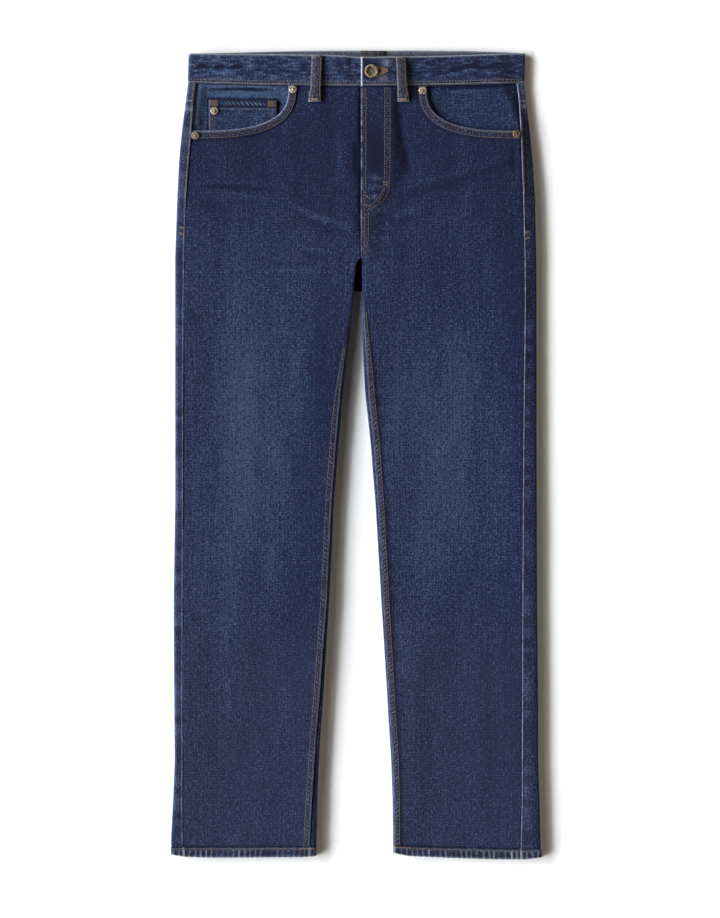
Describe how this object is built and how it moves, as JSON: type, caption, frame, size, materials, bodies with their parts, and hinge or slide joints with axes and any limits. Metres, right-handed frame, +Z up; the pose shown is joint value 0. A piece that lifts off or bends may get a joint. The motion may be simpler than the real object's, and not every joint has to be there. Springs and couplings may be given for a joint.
{
  "type": "straight leg jeans",
  "caption": "Straight leg denim jeans laid flat on their back, with curved front pockets, coin pocket, belt loops, buttoned waistband and turned-up hems.",
  "frame": {"origin": "on the surface that the garment lies on, under the middle of its outline", "axes": "+Y towards the waist, +X towards the wearer's left, +Z up out of the front"},
  "size_m": [0.4618, 1.0121, 0.0123],
  "materials": {
    "denim": "washed dark indigo twill, faded down the middle of the legs, darker at the sides",
    "denim_band": "the same indigo twill doubled, puckered along its stitching and worn pale on its edges",
    "label": "dark woven patch, blank",
    "antique_brass": "dark antique brass, rubbed on its rims"
  },
  "bodies": {
    "root": {"front_panel_right": "denim", "front_panel_left": "denim", "back_panel_right": "denim", "back_panel_left": "denim", "yoke_right": "denim", "yoke_left": "denim", "pocket_facing_right": "denim", "pocket_facing_left": "denim", "coin_pocket": "denim", "back_pocket_right": "denim", "back_pocket_left": "denim", "waistband": "denim_band", "hem_right": "denim_band", "hem_left": "denim_band", "belt_loop_front_right": "denim_band", "belt_loop_front_left": "denim_band", "belt_loop_side_right": "denim_band", "belt_loop_side_left": "denim_band", "belt_loop_back": "denim_band", "inner_label": "label", "waist_button": "antique_brass", "rivet_coin": "antique_brass", "rivet_right_upper": "antique_brass", "rivet_right_lower": "antique_brass", "rivet_left_upper": "antique_brass", "rivet_left_lower": "antique_brass"}
  },
  "joints": []
}
